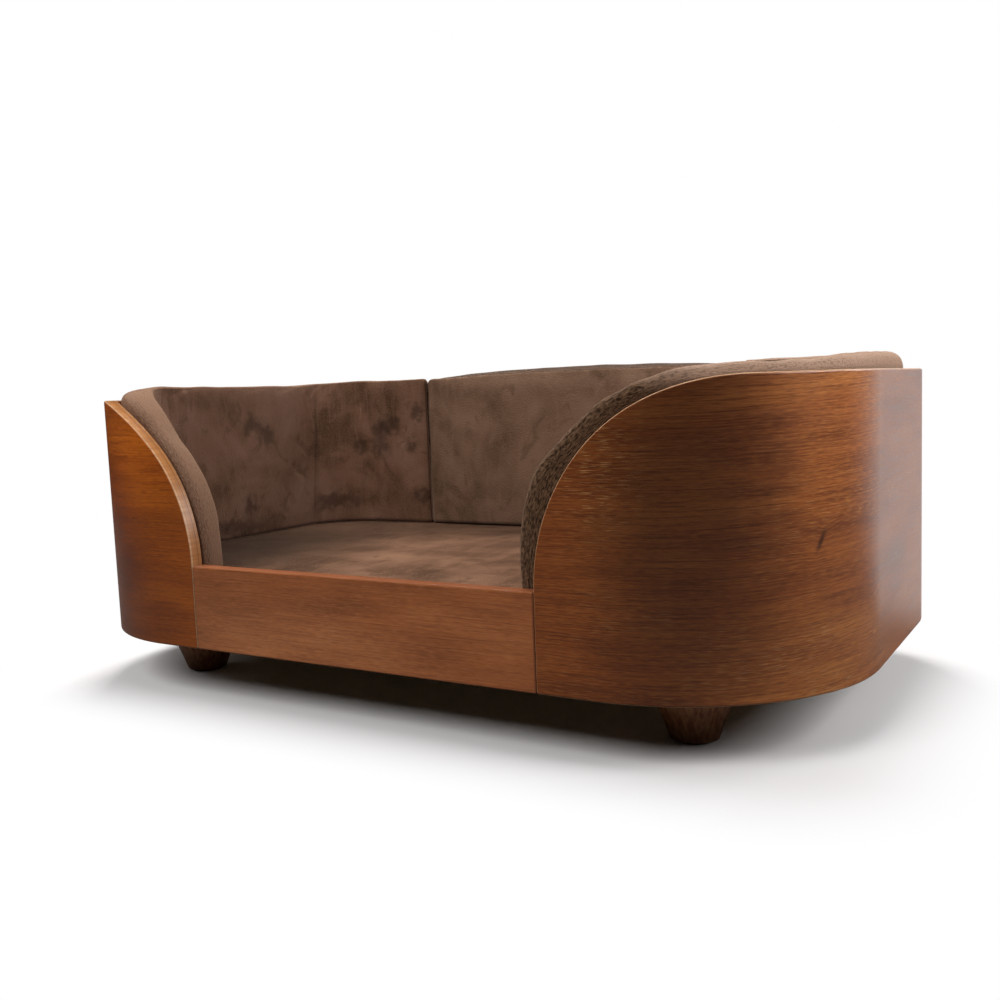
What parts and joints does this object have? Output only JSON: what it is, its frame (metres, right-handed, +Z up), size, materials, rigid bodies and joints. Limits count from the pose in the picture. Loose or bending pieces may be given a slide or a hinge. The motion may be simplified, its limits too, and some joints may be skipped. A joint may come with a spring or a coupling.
{
  "type": "dog sofa bed",
  "caption": "Low pet sofa with bent plywood walls, a curved arm line, turned legs and lift-out plush cushions round a flat seat.",
  "frame": {"origin": "on the floor, under the middle of the sofa", "axes": "+X to the right end seen from the entry, +Y from the entry to the back, +Z up"},
  "size_m": [0.7, 0.405, 0.267],
  "materials": {
    "veneer": "satin lacquer over walnut-stained ash veneer",
    "plywood": "sanded birch plywood",
    "timber": "planed pine",
    "leg_wood": "turned beech, dark walnut stain, satin lacquer",
    "dowel_wood": "fluted beech dowel",
    "zinc_steel": "zinc plated",
    "yellow_zinc": "yellow zinc plated",
    "felt": "pressed felt",
    "plush": "short-pile plush over foam",
    "hook_tape": "woven nylon hook tape"
  },
  "bodies": {
    "frame": {"left_shell": "veneer", "right_shell": "veneer", "front_board": "veneer", "back_board": "veneer", "base_board": "plywood", "front_cleat": "timber", "back_cleat": "timber", "left_cleat": "timber", "right_cleat": "timber", "front_left_plate": "zinc_steel", "front_right_plate": "zinc_steel", "rear_left_plates": "zinc_steel", "rear_right_plates": "zinc_steel", "seam_dowels": "dowel_wood", "plate_screws": "zinc_steel", "cleat_screws": "yellow_zinc", "base_screws": "yellow_zinc", "front_left_leg": "leg_wood", "front_right_leg": "leg_wood", "rear_left_leg": "leg_wood", "rear_right_leg": "leg_wood", "leg_bolts": "zinc_steel", "leg_tee_nuts": "zinc_steel", "leg_glides": "felt", "left_tapes": "hook_tape", "right_tapes": "hook_tape", "back_tapes": "hook_tape"},
    "seat": {"seat_cushion": "plush"},
    "left_side": {"left_bolster": "plush"},
    "right_side": {"right_bolster": "plush"},
    "back": {"back_cushion": "plush"}
  },
  "joints": [
    {"name": "seat_lift", "type": "slide", "parent": "frame", "child": "seat", "axis": [0, 0, 1], "range_m": [0, 0.2]},
    {"name": "left_bolster_lift", "type": "slide", "parent": "seat", "child": "left_side", "axis": [0, 0, 1], "range_m": [0, 0.17]},
    {"name": "right_bolster_lift", "type": "slide", "parent": "seat", "child": "right_side", "axis": [0, 0, 1], "range_m": [0, 0.17]},
    {"name": "back_cushion_lift", "type": "slide", "parent": "seat", "child": "back", "axis": [0, 0, 1], "range_m": [0, 0.17]}
  ]
}
